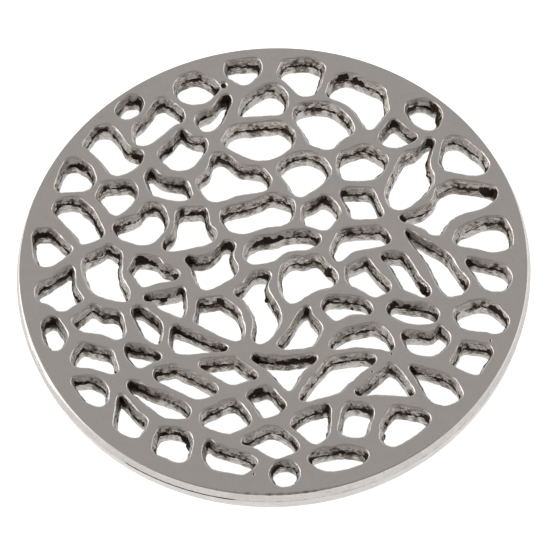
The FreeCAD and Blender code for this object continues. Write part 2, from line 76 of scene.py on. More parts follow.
# Mesh spacing, in mm.
OUTLINE_STEP = 0.16
FACE_STEP = 0.42
FACE_CLEARANCE = 0.26    # the face's own points keep this far from every edge
PIT_CLEARANCE = 0.06     # and those of a pit keep this far
PIT_RINGS = (0.0, 0.3, 0.55, 0.75, 0.9, 1.05, 1.3)    # as shares of the pit's radius
PIT_RING_POINTS = 14

# Limits that keep a ring from crossing itself or its neighbours.
INSET_SHARE = 0.36       # rings go at most this share of the way across a narrow web or cell
LEAN_SHARE = 0.8         # and lean in by at most this share of a corner's own radius
SLIGHTEST_BEND = 0.1     # of an outline, in radians per mm
SHARPEST_BEND = 2.0
FACING_SHARE = 0.6       # a point lies across if this share of the way there is straight across
WIDEST = 10.0            # mm, where nothing lies across
LEAST_FORWARD = 0.15     # share of its outline's own step that a ring's step has to keep
RELAXING_ROUNDS = 40

# Ring by ring from the flat face down a cell's wall to the parting plane: how deep the ring
# lies below the face, and how far it stands back into the metal.
FRONT_PROFILE = (
    (0.00, 0.17), (0.00, 0.12), (0.012, 0.065), (0.04, 0.024), (0.09, -0.010), (0.18, -0.050),
    (0.30, -0.090), (0.42, -0.135), (0.54, -0.180), (0.64, -0.220), (0.73, -0.265), (0.79, -0.280),
    (FRONT_DEPTH, -0.200),
)
BACK_PROFILE = (
    (0.00, 0.07), (0.00, 0.035), (0.010, 0.008), (0.03, -0.010), (0.08, -0.028), (0.28, -0.045),
    (0.50, -0.055), (0.72, -0.062), (0.94, -0.070), (1.16, -0.080), (1.36, -0.100), (1.48, -0.110),
    (BACK_DEPTH, -0.050),
)
# The rim stands out towards the parting plane.
FRONT_RIM_PROFILE = (
    (0.00, 0.19), (0.00, 0.13), (0.014, 0.075), (0.05, 0.025), (0.11, -0.020), (0.20, -0.050),
    (0.32, -0.085), (0.44, -0.120), (0.56, -0.155), (0.66, -0.185), (0.74, -0.208), (0.80, -0.224),
    (FRONT_DEPTH, -0.235),
)
BACK_RIM_PROFILE = (
    (0.00, 0.19), (0.00, 0.13), (0.014, 0.075), (0.05, 0.025), (0.11, -0.010), (0.30, -0.045),
    (0.52, -0.085), (0.74, -0.120), (0.96, -0.155), (1.18, -0.190), (1.38, -0.215), (1.49, -0.230),
    (BACK_DEPTH, -0.235),
)

# Unevenness of the cast metal, and the wavelengths of its noise, in mm.
WEAR_REACH = 0.15        # wear rounds the edge of a face down to this depth
WEAR_WAVES = (0.9, 0.4)
WALL_ROUGHNESS = 0.055
RIM_ROUGHNESS = 0.008
ROUGHNESS_WAVES = (0.55, 0.27)
WALL_WANDER = ((0.035, 0.9), (0.030, 0.40))    # amplitude and wavelength
BACK_WANDER = 1.7        # the back half's walls wander this much more than the front half's
GROOVE_WANDER = 0.08     # of the parting line on the cell walls
GROOVE_WAVE = 0.9
STEADY_WEB = 0.7         # walls wander less where the web is narrower than this
FACE_RIPPLE = 0.006
RIPPLE_WAVE = 2.6

# Where a wall flaw's blackness fades out, as a share of its own size, and how ragged that is.
FLAW_FADE = (0.95, 1.35)
FLAW_RAGGEDNESS = 0.4
FLAW_WAVE = 0.30         # mm
FLAW_SEED = 71

# The rim's edges are more worn on the eye's side than on the far side, and most at the left.
FAR_RIM_WEAR = 0.35
NEAR_RIM_WEAR = 0.70
LEFT_RIM_WEAR = 1.2
LEFT_AZIMUTH = -159
LEFT_SPREAD = 17

# The open parting line on the rim: how deep in mm, about which azimuth, and over how many
# degrees from there it closes.
HAIRLINE_DEPTH = 0.07
HAIRLINE_AZIMUTH = -115
HAIRLINE_REACH = (11, 16)

# Pits in the front face, as (x, y, radius, depth) in mm from the disc's axis.
PITS = (
    (-3.33, 18.50, 0.36, 0.22), (9.66, -9.20, 0.12, 0.05),
    (7.87, -10.80, 0.12, 0.05), (18.16, -8.55, 0.13, 0.05), (-2.78, -19.87, 0.12, 0.04),
)
# Flash, nodules and black patches on the cell walls, as (x, y, depth below the front face, half
# width along the wall, half height, how far it stands into the cell, how black it is), in mm.
WALL_FLAWS = (
    (-16.40, 11.55, 0.80, 0.50, 0.35, 0.15, 1.0), (-11.30, 12.30, 0.85, 0.50, 0.25, 0.18, 1.0),
    (-8.40, 12.75, 1.10, 0.42, 0.42, 0.32, 1.0), (-2.90, 17.35, 0.45, 0.35, 0.50, 0.00, 1.0),
    (-5.30, 15.65, 0.80, 0.40, 0.25, 0.05, 0.9), (-14.15, 3.10, 0.80, 0.40, 0.25, 0.00, 0.8),
    (-11.40, 1.85, 0.70, 0.60, 0.50, 0.05, 1.0), (-10.45, 1.40, 0.80, 0.40, 0.35, 0.10, 1.0),
    (-13.05, 1.75, 0.85, 0.26, 0.26, 0.24, 0.9), (-4.20, 2.60, 0.70, 0.35, 0.40, 0.00, 0.8),
    (-1.25, 2.70, 0.75, 0.45, 0.30, 0.05, 1.0), (-0.30, 2.85, 0.60, 0.50, 0.40, 0.05, 1.0),
    (0.65, 2.95, 0.60, 0.45, 0.30, 0.05, 1.0), (-0.60, -2.70, 1.05, 0.22, 0.22, 0.25, 0.6),
    (7.17, 18.78, 0.45, 0.60, 0.35, 0.05, 1.0), (8.42, 18.35, 0.70, 0.60, 0.32, 0.10, 1.0),
    (10.65, 17.00, 0.90, 0.28, 0.35, 0.15, 0.8), (11.35, 13.95, 0.60, 0.45, 0.50, 0.10, 1.0),
    (15.08, 15.10, 0.45, 0.50, 0.40, 0.12, 1.0), (15.42, 14.10, 0.75, 0.55, 0.50, 0.25, 1.0),
    (14.35, 11.80, 0.60, 0.40, 0.40, 0.10, 1.0), (14.05, 8.60, 0.90, 0.25, 0.30, 0.15, 0.3),
    (14.30, 8.00, 1.10, 0.25, 0.30, 0.12, 0.9), (18.90, 6.40, 0.90, 0.65, 0.80, 0.30, 1.0),
    (14.75, 2.45, 0.20, 0.20, 0.20, 0.14, 1.0), (4.90, -0.45, 0.70, 0.45, 0.42, 0.38, 1.0),
    (12.95, -2.75, 0.90, 0.42, 0.60, 0.32, 1.0), (12.55, -2.20, 0.75, 0.25, 0.30, 0.05, 0.9),
    (16.35, -2.25, 0.80, 0.30, 0.30, 0.15, 0.9), (16.65, -2.70, 1.00, 0.28, 0.30, 0.15, 0.9),
    (6.55, -3.60, 2.10, 0.22, 0.25, 0.10, 1.0), (8.05, -4.40, 0.80, 0.40, 0.30, 0.05, 0.9),
    (10.05, -4.20, 0.50, 0.40, 0.40, 0.05, 1.0), (11.25, -4.25, 0.60, 0.35, 0.35, 0.05, 1.0),
    (18.80, -5.15, 0.60, 0.42, 0.32, 0.00, 1.0), (19.16, -5.70, 0.60, 0.42, 0.30, 0.00, 1.0),
    (19.60, -6.28, 0.60, 0.38, 0.28, 0.00, 1.0), (13.05, -7.60, 1.00, 0.38, 0.32, 0.15, 1.0),
    (15.35, -8.90, 0.60, 0.35, 0.40, 0.05, 0.9), (15.05, -9.55, 1.20, 0.25, 0.30, 0.10, 0.8),
    (13.50, -11.50, 1.35, 0.24, 0.24, 0.10, 0.9), (0.30, -9.05, 0.85, 0.55, 0.32, 0.00, 1.0),
    (1.35, -9.00, 0.85, 0.60, 0.40, 0.00, 1.0), (2.25, -8.90, 0.75, 0.40, 0.25, 0.00, 1.0),
    (-9.62, -1.90, 1.25, 0.30, 0.30, 0.20, 0.9), (-4.75, -2.75, 0.60, 0.35, 0.40, 0.05, 1.0),
    (-7.85, -5.72, 0.90, 0.55, 0.20, 0.12, 1.0), (-1.90, -11.75, 0.60, 0.50, 0.45, 0.05, 1.0),
    (-2.65, -12.10, 0.70, 0.35, 0.35, 0.10, 1.0), (-0.10, -13.95, 0.20, 0.28, 0.20, 0.12, 0.9),
    (-11.75, -13.90, 0.95, 0.28, 0.28, 0.12, 0.9), (-9.05, -15.10, 0.70, 0.30, 0.22, 0.00, 1.0),
    (-8.55, -15.85, 1.20, 0.50, 0.35, 0.32, 1.0), (-8.20, -16.30, 1.30, 0.45, 0.42, 0.38, 1.0),
    (8.60, -15.40, 1.00, 0.30, 0.35, 0.20, 1.0), (8.35, -16.30, 1.60, 0.30, 0.35, 0.20, 1.0),
    (4.85, -18.00, 0.80, 0.14, 0.50, 0.00, 0.9), (6.00, -17.85, 0.70, 0.14, 0.45, 0.00, 0.9),
)

# Black on the cell walls, by depth as a share of the half's own: a band along the parting line,
# with painted shade that climbs higher in the cells' corners. Its upper edge lies about "edge"
# deep, and it turns from clean to black between "above" over that and "below" under it. The rest
# say how far a corner's painted shade and each kind of noise move the edge.
FRONT_GRIME_AND_SHADE = {"edge": 0.94, "above": 0.26, "below": 0.12, "corner": 0.70, "broad": 0.16, "blocks": 0.22}
BACK_GRIME_AND_SHADE = {"edge": 0.85, "above": 0.22, "below": 0.08, "corner": 0.20, "broad": 0.20, "blocks": 0.18}
GRIME_AND_SHADE_RAGGEDNESS = 0.14
# Stain on the cell walls, darker towards the parting plane and with painted shade in the corners:
# how much there is half way down, and how much each thing adds.
FRONT_STAIN_AND_SHADE = {"middle": 0.25, "down": 0.45, "corner": 0.45, "broad": 0.45, "blocks": 0.75}
BACK_STAIN_AND_SHADE = {"middle": 0.46, "down": 0.80, "corner": 0.25, "broad": 0.75, "blocks": 1.05}
# Wavelengths of that noise, in mm.
BROAD_WAVE = 1.6
PATCH_WAVE = 1.1
BLOCK_WAVE = 0.62
RAGGED_WAVE = 0.45
BLOCK_SQUEEZE = 0.35     # of the depth, so that a block is taller than it is wide
RIM_STAIN_FRONT = 0.74
RIM_STAIN_BACK = 0.56
RIM_WALL_SHARE = 0.3     # the rim takes this share of the cell walls' look
RIM_EDGE_DARK_REFLECTION = 0.55    # painted dark reflection along the rim's upper edge, most at the azimuth below
RIM_EDGE_AZIMUTH = -92
RIM_EDGE_SPREAD = 26
HAIRLINE_BLACKNESS = 0.9
PIT_BLACKNESS = 0.9

# Linear colours of the metal.
FRONT_CLEAN = (0.625, 0.602, 0.583)
FRONT_WALL_LIGHT = (0.70, 0.667, 0.630)
FRONT_WALL_DARK = (0.13, 0.103, 0.076)
BACK_CLEAN = (0.64, 0.617, 0.598)
BACK_WALL_LIGHT = (0.56, 0.530, 0.497)
BACK_WALL_DARK = (0.14, 0.113, 0.086)
# The black of grime and of painted shade.
GRIME_AND_SHADE_BLACK = (0.034, 0.024, 0.016)
DARK_SPECK = (0.06, 0.05, 0.04)
LIGHT_FLECK = (0.80, 0.78, 0.75)
DARK_DUST = (0.20, 0.17, 0.14)
LIGHT_DUST = (0.85, 0.84, 0.82)
BLOTCH_SHADE = 0.955     # how dark a blotch of the face is, as a share of the clean metal
SATIN = (0.29, 0.35)     # roughness of the clean metal, from blotch to blotch
BLACKENED_SHEEN = 0.1        # specular level, which only the blackened metal shows
RELIEF_DEPTH = 0.05      # mm, of the fine grain

# How wide the patches of each noise in the metal are, in mm.
BLOTCH_WIDTH = 1.4
GRAIN_WIDTH = 0.32
STREAK_WIDTH = 0.20
STREAK_STRETCH = (0.35, 0.35, 1.2)    # noise space is scaled so, for streaks along the walls
SPECK_WIDTH = 0.13
DUST_WIDTH = 0.16

# The studio: brightness by height, from the horizon at 0 to straight up at 1.
SKY_BANDS = ((0.0, 1.10), (0.30, 0.95), (0.60, 0.56), (0.88, 0.49), (1.0, 0.30))
SKY_COLOUR = (1.0, 0.965, 0.94)
LEFT_GLOW = 2.2
RIGHT_GLOW = 0.8
FRONT_DIMMING = 0.5      # the light from the -Y side is this share of the rest
FLOOR_GREY = 0.55
FLOOR_GLOW = 0.95

# The camera, with its aim in mm from the middle of the front face.
ELEVATION = math.radians(61.304)
ROLL = math.radians(-3.702)
DISTANCE = 528 * MM
LENS = 400.2
SENSOR = 36
AIM_RIGHT = 0.170
AIM_UP = -0.694


def smooth_step(low, high, value):
    """0 below low, 1 above high, and a smooth rise between."""
    share = np.clip((value - low) / (high - low), 0, 1)
    return share * share * (3 - 2 * share)


def bump_about(azimuth, middle, spread_degrees):
    """1 at the middle azimuth, falling away smoothly to both sides."""
    return np.exp(-((azimuth - middle) / spread_degrees) ** 2)


def noise_field(points, wavelength, seed):
    """Smooth noise from about -1 to 1 at each point, in waves about wavelength mm long.

    Each use adds a number of its own to the half's seed, so that no two uses look alike.
    """
    offset = Vector((seed * 17.3, seed * 5.1, seed * 9.7))
    return np.array([noise.noise(Vector(p) / wavelength + offset) for p in points])


def azimuth_of(points):
    """Degrees about the disc's axis from +X, for each point."""
    return np.degrees(np.arctan2(points[:, 1], points[:, 0]))


def hairline_at(points):
    """From 0 to 1, how open the parting line is on the rim: it only shows at the front left."""
    return 1 - smooth_step(*HAIRLINE_REACH, np.abs(azimuth_of(points) - HAIRLINE_AZIMUTH))


def face_loops(node, face_z):
    """Every closed outline of a half's flat face, in mm, with the metal on its left from above."""
    work = bmesh.new()
    work.from_mesh(node.data)
    bmesh.ops.remove_doubles(work, verts=work.verts, dist=1e-6)
    cap = {f for f in work.faces if all(abs(v.co.z - face_z) < 1e-6 for v in f.verts)}
    following = {}
    for face in work.faces:
        for corner in face.loops:
            if face in cap and any(other not in cap for other in corner.edge.link_faces):
                following[corner.vert] = corner.link_loop_next.vert
    loops = []
    while following:
        start, here = following.popitem()
        points = [start.co.to_2d()]
        while here is not start:
            points.append(here.co.to_2d())
            here = following.pop(here)
        loop = np.array(points) / MM
        is_underside = face_z == 0
        loops.append(loop[::-1] if is_underside else loop)
    work.free()
    return sorted(loops, key=lambda loop: tuple(loop.min(0)))


def evenly(loop, step):
    """The same closed line as points about step apart, with its tessellation smoothed away."""
    closed = np.vstack([loop, loop[:1]])
    run = np.concatenate([[0], np.cumsum(np.hypot(*np.diff(closed, axis=0).T))])
    places = np.linspace(0, run[-1], round(run[-1] / step), endpoint=False)
    points = np.column_stack([np.interp(places, run, closed[:, axis]) for axis in (0, 1)])
    for _ in range(2):
        points = points / 2 + (np.roll(points, 1, 0) + np.roll(points, -1, 0)) / 4
    return points


def loop_average(values, reach, times=2):
    """Values along a closed loop, averaged over reach neighbours on each side."""
    window = 2 * reach + 1
    for _ in range(times):
        values = sum(np.roll(values, shift, 0) for shift in range(-reach, reach + 1)) / window
    return values


class Outline:
    """One closed outline with what the rings need: its points, inward direction and bend."""

    def __init__(self, loop):
        centre = (loop.min(0) + loop.max(0)) / 2
        radius = np.hypot(*(loop - centre).T).max()
        self.is_rim = radius > OUTER_R - 1
        self.points = evenly(loop, OUTLINE_STEP)
        if self.is_rim:
            spokes = self.points - centre
            self.points = centre + spokes * (radius / np.hypot(*spokes.T))[:, None]
        along = np.roll(self.points, -1, 0) - np.roll(self.points, 1, 0)
        along = loop_average(along, 1)
        along /= np.hypot(*along.T)[:, None]
        self.inward = np.column_stack([-along[:, 1], along[:, 0]])
        before = np.roll(along, 1, 0)
        after = np.roll(along, -1, 0)
        turn = before[:, 0] * after[:, 1] - before[:, 1] * after[:, 0]
        # How sharply the outline bends round a tip of its cell; this later sets the painted shade in the
        # corners.
        self.pocket = np.clip(-loop_average(turn, 3) / (2 * OUTLINE_STEP), 0, SHARPEST_BEND)
        bend = -turn / (2 * OUTLINE_STEP)
        sharpest = bend
        for shift in (-2, -1, 1, 2):
            sharpest = np.maximum(sharpest, np.roll(bend, shift))
        self.room = LEAN_SHARE / np.maximum(loop_average(sharpest, 2), SLIGHTEST_BEND)


def measure_widths(outlines):
    """Gives each outline the width of the web behind each point and of the cell in front of it."""
    every = np.vstack([outline.points for outline in outlines])
    for outline in outlines:
        across = every[None] - outline.points[:, None]
        distance = np.hypot(across[..., 0], across[..., 1])
        facing = (across * outline.inward[:, None]).sum(2)
        behind = facing > FACING_SHARE * distance
        ahead = facing < -FACING_SHARE * distance
        web = np.where(behind & (distance > 0), distance, WIDEST).min(1)
        cell = np.where(ahead & (distance > 0), distance, WIDEST).min(1)
        outline.web = np.minimum(loop_average(web, 2), web)
        half_cell = INSET_SHARE * np.minimum(loop_average(cell, 2), cell)
        outline.room = np.minimum(outline.room, half_cell)


def untangle(ring, base):
    """Relaxes a ring where leaning it in or out made it run backwards against its outline."""
    forward = np.roll(base, -1, 0) - base
    least = LEAST_FORWARD * (forward * forward).sum(1)
    for _ in range(RELAXING_ROUNDS):
        step = np.roll(ring, -1, 0) - ring
        backward = (step * forward).sum(1) < least
        if not backward.any():
            break
        moving = backward | np.roll(backward, 1) | np.roll(backward, 2) | np.roll(backward, -1)
        relaxed = (np.roll(ring, 1, 0) + np.roll(ring, -1, 0)) / 2
        ring = np.where(moving[:, None], relaxed, ring)
    return ring


def wall_flaws(points):
    """How far the flaws push each wall point into its cell, in mm, and how black they make it."""
    ragged = FLAW_RAGGEDNESS * noise_field(points, FLAW_WAVE, FLAW_SEED)
    push = np.zeros(len(points))
    flaw_black = np.zeros(len(points))
    for x, y, depth, half_width, half_height, height, blackness in WALL_FLAWS:
        sideways = np.hypot(points[:, 0] - x, points[:, 1] - y) / half_width
        away = np.hypot(sideways, (points[:, 2] - depth) / half_height)
        push = np.maximum(push, height * np.exp(-away ** 6))
        flaw_black = np.maximum(flaw_black, blackness * (1 - smooth_step(*FLAW_FADE, away + ragged)))
    return push * smooth_step(0.03, 0.30, points[:, 2]), flaw_black


def edge_wear(outline, seed):
    """How worn the face's edge is along an outline, as a share of its profile's own rounding."""
    flat = outline.points
    if outline.is_rim:
        wear_rise = NEAR_RIM_WEAR - FAR_RIM_WEAR
        wear = FAR_RIM_WEAR + wear_rise * smooth_step(-6, 6, -flat[:, 1])
        return wear + LEFT_RIM_WEAR * bump_about(azimuth_of(flat), LEFT_AZIMUTH, LEFT_SPREAD)
    solid = np.column_stack([flat, np.zeros(len(flat))])
    long_wave, short_wave = WEAR_WAVES
    wear = 1 + 0.6 * noise_field(solid, long_wave, seed)
    wear += 0.6 * noise_field(solid, short_wave, seed + 11)
    return np.maximum(wear, 0.3)


def ring_points(outline, profile, is_front, seed):
    """All rings of one outline, and how black flaws make them.

    The rings are (rings, points, 3) in mm, with z as depth below the half's own flat face.
    """
    full_depth = profile[-1][0]
    flat = outline.points
    solid = np.column_stack([flat, np.zeros(len(flat))])
    worn = edge_wear(outline, seed)
    if outline.is_rim:
        rough = RIM_ROUGHNESS
        sway = np.zeros(len(flat))
        opening = HAIRLINE_DEPTH * hairline_at(flat)
    else:
        rough = WALL_ROUGHNESS
        (broad, broad_wave), (fine, fine_wave) = WALL_WANDER
        sway = broad * noise_field(solid, broad_wave, seed + 1)
        sway += fine * noise_field(solid, fine_wave, seed + 5)
        sway *= np.clip(outline.web / STEADY_WEB, 0, 1) * (1 if is_front else BACK_WANDER)
        opening = GROOVE_WANDER * noise_field(solid, GROOVE_WAVE, seed + 2)
    rings = []
    flaw_black = []
    for depth, inset in profile:
        height = np.full(len(flat), depth)
        into = np.full(len(flat), float(inset))
        if depth < WEAR_REACH:
            into *= worn
            height *= worn
        into = np.clip(into, -outline.room, INSET_SHARE * outline.web)
        on_wall = smooth_step(0.05, 0.30, depth)
        if on_wall > 0:
            spot = np.column_stack([flat, height])
            into += on_wall * rough * noise_field(spot, ROUGHNESS_WAVES[0], seed + 3)
            into += on_wall * rough * 0.7 * noise_field(spot, ROUGHNESS_WAVES[1], seed + 4)
        if outline.is_rim:
            into += (depth == full_depth) * opening
        else:
            into += smooth_step(0.7, 1.0, depth / full_depth) * opening
        below_face = height if is_front else THICKNESS - height
        ring = flat + outline.inward * (into + sway)[:, None]
        push, black = wall_flaws(np.column_stack([ring, below_face]))
        if not outline.is_rim:
            ring -= outline.inward * push[:, None]
        rings.append(np.column_stack([untangle(ring, flat), height]))
        flaw_black.append(black)
    return np.array(rings), np.array(flaw_black)


def fill(rings, loose):
    """Triangles of the metal between closed rings of points, through the loose points inside it.

    Gives the triangles, and the inner points they use. A corner's number is its place in the
    rings, one after another, and then in the inner points.
    """
    edges = []
    start = 0
    for ring in rings:
        count = len(ring)
        edges += [(start + i, start + (i + 1) % count) for i in range(count)]
        start += count
    ring_count = start
    points = [Vector(p) for p in np.vstack([*rings, loose])]
    made, made_edges, faces, sources, edge_sources, _ = delaunay_2d_cdt(points, edges, [], 0, 1e-7)
    place = []
    added = []
    for point, source in zip(made, sources):
        place.append(source[0] if source else len(points) + len(added))
        if not source:
            added.append(tuple(point))
    walls = {frozenset((place[a], place[b])) for (a, b), s in zip(made_edges, edge_sources) if s}
    triangles = [[place[i] for i in face] for face in faces]
    beside = {}
    for number, (a, b, c) in enumerate(triangles):
        for side in ((a, b), (b, c), (c, a)):
            beside[side] = number
    waiting = [beside[edge] for edge in edges if edge in beside]
    metal = set(waiting)
    while waiting:
        a, b, c = triangles[waiting.pop()]
        for side in ((b, a), (c, b), (a, c)):
            other = beside.get(side)
            if other is not None and other not in metal and frozenset(side) not in walls:
                metal.add(other)
                waiting.append(other)
    kept = [triangles[number] for number in sorted(metal)]
    inner = sorted({i for triangle in kept for i in triangle if i >= ring_count})
    places = {i: ring_count + order for order, i in enumerate(inner)}
    kept = [[places.get(i, i) for i in triangle] for triangle in kept]
    every = [*points, *added]
    return kept, np.array([tuple(every[i]) for i in inner]).reshape(-1, 2)


def loose_face_points(edge_points):
    """A hexagonal grid over the metal of the face, closer together round each pit."""
    tree = kdtree.KDTree(len(edge_points))
    for i, (x, y) in enumerate(edge_points):
        tree.insert((x, y, 0), i)
    tree.balance()
    found = []
    row_step = FACE_STEP * math.sqrt(3) / 2
    rows = int(OUTER_R / row_step)
    columns = int(OUTER_R / FACE_STEP)
    for row in range(-rows, rows + 1):
        for column in range(-columns, columns + 1):
            x = (column + 0.5 * (row % 2)) * FACE_STEP
            y = row * row_step
            near_pit = any(math.hypot(x - px, y - py) < 1.5 * r for px, py, r, _ in PITS)
            if not near_pit and tree.find((x, y, 0))[2] > FACE_CLEARANCE:
                found.append((x, y))
    for px, py, radius, _ in PITS:
        for share in PIT_RINGS:
            count = 1 if share == 0 else PIT_RING_POINTS
            for i in range(count):
                angle = 2 * math.pi * (i + share) / count
                x = px + share * radius * math.cos(angle)
                y = py + share * radius * math.sin(angle)
                if tree.find((x, y, 0))[2] > PIT_CLEARANCE:
                    found.append((x, y))
    return np.array(found)


def wall_quads(counts, levels):
    """Quads that join each ring to the same outline's next ring down."""
    starts = np.concatenate([[0], np.cumsum(counts)])
    total = int(starts[-1])
    here = np.arange(total)
    following = here + 1
    following[starts[1:] - 1] = starts[:-1]
    quads = []
    for level in range(levels - 1):
        upper = level * total
        lower = upper + total
        quads.append(np.column_stack([upper + here, lower + here, lower + following, upper + following]))
    return np.vstack(quads).tolist()


def pit_reach(points, pit):
    """Each point's distance from a pit's middle, as a share of its radius."""
    x, y, radius, _ = pit
    return np.hypot(points[:, 0] - x, points[:, 1] - y) / radius


def profile_of(outline, is_front):
    """The depths and insets of one outline's rings."""
    if outline.is_rim:
        return FRONT_RIM_PROFILE if is_front else BACK_RIM_PROFILE
    return FRONT_PROFILE if is_front else BACK_PROFILE


def sink_face(points, on_face, is_front, seed):
    """Sinks the points of the face into its pits and its slight ripple."""
    if is_front:
        for pit in PITS:
            bowl = pit[3] * np.clip(1 - pit_reach(points, pit) ** 2, 0, 1) ** 0.8
            points[:, 2] += np.where(on_face, bowl, 0)
    ripple = FACE_RIPPLE * (1 + noise_field(points, RIPPLE_WAVE, seed + 6))
    points[:, 2] += np.where(on_face, np.maximum(ripple, 0), 0)


def grime_shade_and_stain(points, depth, pockets, flaw_black, on_rim, is_front, seed):
    """Black grime and painted shade, and brown stain with painted shade in the corners, at each vertex,
    both from 0, clean, to 1.
    """
    full_depth = FRONT_DEPTH if is_front else BACK_DEPTH
    down = depth / full_depth
    broad = noise_field(points, BROAD_WAVE, seed + 8)
    ragged = noise_field(points, RAGGED_WAVE, seed + 9)
    blocks = noise_field(points * (1, 1, BLOCK_SQUEEZE), BLOCK_WAVE, seed + 10)
    patches = noise_field(points * (1, 1, 0), PATCH_WAVE, seed + 12)
    # Painted shade: corner is how far into a sharp corner of its cell a point lies. It darkens the black
    # and the stain there.
    corner = smooth_step(0.55, 1.5, pockets + 0.35 * broad)

    amount = FRONT_GRIME_AND_SHADE if is_front else BACK_GRIME_AND_SHADE
    edge = amount["edge"] - amount["corner"] * corner - amount["broad"] * broad
    reach = down + GRIME_AND_SHADE_RAGGEDNESS * ragged + amount["blocks"] * blocks
    grime_and_shade = smooth_step(edge - amount["above"], edge + amount["below"], reach)
    grime_and_shade *= np.clip(0.85 + 0.45 * corner + 0.45 * patches, 0.35, 1)
    grime_and_shade = np.maximum(grime_and_shade, flaw_black)

    amount = FRONT_STAIN_AND_SHADE if is_front else BACK_STAIN_AND_SHADE
    stain_and_shade = amount["middle"] + amount["down"] * (down - 0.5) + amount["corner"] * corner
    stain_and_shade += amount["broad"] * broad + amount["blocks"] * blocks

    near_parting = smooth_step(full_depth - 0.11, full_depth - 0.05, depth)
    rim_joint_and_reflection = HAIRLINE_BLACKNESS * hairline_at(points) * near_parting
    # Painted dark reflection: a dark line along the rim's upper edge, strongest on the front.
    if is_front:
        about_front = bump_about(azimuth_of(points), RIM_EDGE_AZIMUTH, RIM_EDGE_SPREAD)
        edge_dark_reflection = RIM_EDGE_DARK_REFLECTION * about_front * (1 + 0.3 * ragged)
        rim_joint_and_reflection = np.where(depth < 0.09, edge_dark_reflection, rim_joint_and_reflection)
    grime_and_shade = np.where(on_rim, rim_joint_and_reflection, grime_and_shade)
    stain_and_shade = np.where(on_rim, RIM_STAIN_FRONT if is_front else RIM_STAIN_BACK, stain_and_shade)

    if is_front:
        for pit in PITS:
            away = pit_reach(points, pit)
            in_pit = (depth < 0.01) & (away < 1)
            grime_and_shade = np.where(in_pit, PIT_BLACKNESS * (1 - away ** 3), grime_and_shade)
    in_a_cell = ~on_rim & (depth > 0.01)
    grime_and_shade *= np.where(in_a_cell, smooth_step(0.01, 0.15, depth), 1)
    return np.clip(grime_and_shade, 0, 1), np.clip(stain_and_shade, 0, 1)


def cast_piece(name, points, faces, smooth_count, layers):
    """An object from points in mm. Its first faces are smooth, and the others are flat."""
    mesh = bpy.data.meshes.new(name)
    mesh.from_pydata((points * MM).tolist(), [], faces)
    mesh.update()
    mesh.polygons.foreach_set("use_smooth", np.arange(len(faces)) < smooth_count)
    for label, values in layers.items():
        layer = mesh.attributes.new(label, "FLOAT", "POINT")
        layer.data.foreach_set("value", values.astype(np.float32))
    mesh.validate()
    piece = bpy.data.objects.new(name, mesh)
    bpy.context.scene.collection.objects.link(piece)
    return piece


def build_half(name, face_z, seed):
    """One cast half as a closed mesh around the outlines of its CAD node."""
    is_front = face_z > 0
    outlines = [Outline(loop) for loop in face_loops(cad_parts[name], face_z * MM)]
    measure_widths(outlines)
    stacks = []
    flaw_blacks = []
    for outline in outlines:
        stack, flaw_black = ring_points(outline, profile_of(outline, is_front), is_front, seed)
        stacks.append(stack)
        flaw_blacks.append(flaw_black)
    rings = np.concatenate(stacks, axis=1)
    levels, total, _ = rings.shape
    counts = [stack.shape[1] for stack in stacks]
    faces = wall_quads(counts, levels)

    def number_of(corner, first_ring, first_inner):
        """The mesh's number for a corner that fill numbered within one level."""
        return first_ring + corner if corner < total else first_inner + corner - total

    face_rings = [stack[0][:, :2] for stack in stacks]
    triangles, face_points = fill(face_rings, loose_face_points(np.vstack(face_rings)))
    first_inner = levels * total
    faces += [[number_of(i, 0, first_inner) for i in triangle] for triangle in triangles]
    smooth_count = len(faces)

    parting_rings = [stack[-1][:, :2] for stack in stacks]
    triangles, parting_points = fill(parting_rings, np.empty((0, 2)))
    last_ring = (levels - 1) * total
    first_inner += len(face_points)
    for triangle in triangles:
        faces.append([number_of(i, last_ring, first_inner) for i in reversed(triangle)])

    full_depth = FRONT_DEPTH if is_front else BACK_DEPTH
    points = np.vstack([
        rings.reshape(-1, 3),
        np.column_stack([face_points, np.zeros(len(face_points))]),
        np.column_stack([parting_points, np.full(len(parting_points), full_depth)]),
    ])
    pockets = np.zeros(len(points))
    pockets[:levels * total] = np.tile(np.concatenate([o.pocket for o in outlines]), levels)
    flaw_black = np.zeros(len(points))
    flaw_black[:levels * total] = np.concatenate(flaw_blacks, axis=1).ravel()
    on_rim = np.zeros(len(points), bool)
    on_rim[:levels * total] = np.tile(np.repeat([o.is_rim for o in outlines], counts), levels)

    depth = points[:, 2].copy()
    sink_face(points, depth == 0, is_front, seed)
    grime_and_shade, stain_and_shade = grime_shade_and_stain(points, depth, pockets, flaw_black, on_rim, is_front, seed)
    wall = smooth_step(0.02, 0.16, depth) * np.where(on_rim, RIM_WALL_SHARE, 1)
    if is_front:
        points[:, 2] = THICKNESS - points[:, 2]
    else:
        faces = [face[::-1] for face in faces]
    layers = {"grime_and_shade": grime_and_shade, "stain_and_shade": stain_and_shade, "wall": wall}
    return cast_piece(name + "_cast", points, faces, smooth_count, layers)


def link(tree, source, target):
    """Joins two sockets of a node tree."""
    tree.links.new(source, target)


def maths(tree, operation, first, second):
    """A Math node whose inputs are sockets or plain numbers. Gives its output socket."""
    node = tree.nodes.new("ShaderNodeMath")
    node.operation = operation
    for slot, value in enumerate((first, second)):
        if isinstance(value, (int, float)):
            node.inputs[slot].default_value = value
        else:
            link(tree, value, node.inputs[slot])
    return node.outputs[0]


def plus(tree, first, second):
    """The sum of two sockets or numbers."""
    return maths(tree, "ADD", first, second)


def times(tree, first, second):
    """The product of two sockets or numbers."""
    return maths(tree, "MULTIPLY", first, second)


